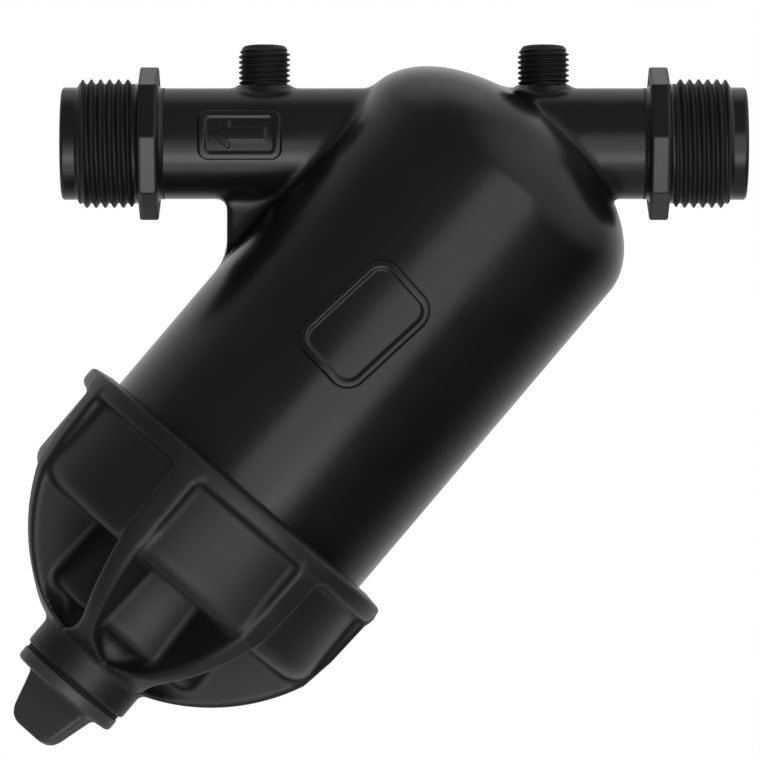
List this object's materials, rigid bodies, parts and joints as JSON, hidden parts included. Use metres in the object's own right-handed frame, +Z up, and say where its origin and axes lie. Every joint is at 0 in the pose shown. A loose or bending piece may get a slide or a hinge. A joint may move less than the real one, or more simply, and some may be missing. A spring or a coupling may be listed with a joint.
{
  "type": "irrigation disc filter",
  "caption": "Y-type plastic irrigation disc filter with male threaded pipe ends, threaded pressure points, an inclined barrel, a screw-on ribbed bowl and a winged drain plug.",
  "frame": {"origin": "on the pipe axis where the outlet thread starts at full diameter, behind the plain pilot", "axes": "+X along the pipe from the outlet to the inlet, +Z up through the pressure points, the label faces -Y; the bowl hangs down towards -X and -Z"},
  "size_m": [0.1867, 0.0954, 0.1785],
  "materials": {
    "body_plastic": "satin moulded",
    "bowl_plastic": "satin moulded",
    "plug_plastic": "satin moulded",
    "frame_plastic": "satin moulded",
    "disc_plastic": "grooved, satin",
    "rubber": "matt"
  },
  "bodies": {
    "housing": {"filter_body": "body_plastic"},
    "element": {"disc_spine": "frame_plastic", "element_o_ring": "rubber", "pressure_plate": "frame_plastic", "tightening_nut": "frame_plastic", "bowl_o_ring": "rubber", "disc_01": "disc_plastic", "disc_02": "disc_plastic", "disc_03": "disc_plastic", "disc_04": "disc_plastic", "disc_05": "disc_plastic", "disc_06": "disc_plastic", "disc_07": "disc_plastic", "disc_08": "disc_plastic", "disc_09": "disc_plastic", "disc_10": "disc_plastic", "disc_11": "disc_plastic", "disc_12": "disc_plastic", "disc_13": "disc_plastic", "disc_14": "disc_plastic", "disc_15": "disc_plastic", "disc_16": "disc_plastic", "disc_17": "disc_plastic", "disc_18": "disc_plastic", "disc_19": "disc_plastic", "disc_20": "disc_plastic", "disc_21": "disc_plastic", "disc_22": "disc_plastic", "disc_23": "disc_plastic", "disc_24": "disc_plastic", "disc_25": "disc_plastic", "disc_26": "disc_plastic", "disc_27": "disc_plastic", "disc_28": "disc_plastic", "disc_29": "disc_plastic", "disc_30": "disc_plastic", "disc_31": "disc_plastic", "disc_32": "disc_plastic", "disc_33": "disc_plastic", "disc_34": "disc_plastic", "disc_35": "disc_plastic", "disc_36": "disc_plastic", "disc_37": "disc_plastic", "disc_38": "disc_plastic", "disc_39": "disc_plastic", "disc_40": "disc_plastic", "disc_41": "disc_plastic", "disc_42": "disc_plastic", "disc_43": "disc_plastic", "disc_44": "disc_plastic", "disc_45": "disc_plastic", "disc_46": "disc_plastic"},
    "bowl": {"screw_bowl": "bowl_plastic"},
    "plug_seal": {"drain_plug_o_ring": "rubber"},
    "plug": {"drain_plug": "plug_plastic"}
  },
  "joints": [
    {"name": "bowl_draw", "type": "slide", "parent": "housing", "child": "element", "axis": [-0.6468, 0, -0.7627], "range_m": [0, 0.112]},
    {"name": "bowl_turn", "type": "hinge", "parent": "element", "child": "bowl", "pos_m": [0.1148, 0, 0], "axis": [-0.6468, 0, -0.7627], "range_deg": [0, 540]},
    {"name": "plug_travel", "type": "slide", "parent": "bowl", "child": "plug_seal", "axis": [-0.6468, 0, -0.7627], "range_m": [0, 0.0105]},
    {"name": "plug_turn", "type": "hinge", "parent": "plug_seal", "child": "plug", "pos_m": [0.1148, 0, 0], "axis": [-0.6468, 0, -0.7627], "range_deg": [0, 2100]}
  ],
  "couplings": [
    {"joint": "plug_turn", "follows": "plug_travel", "rad_per_m": 3463.7}
  ]
}
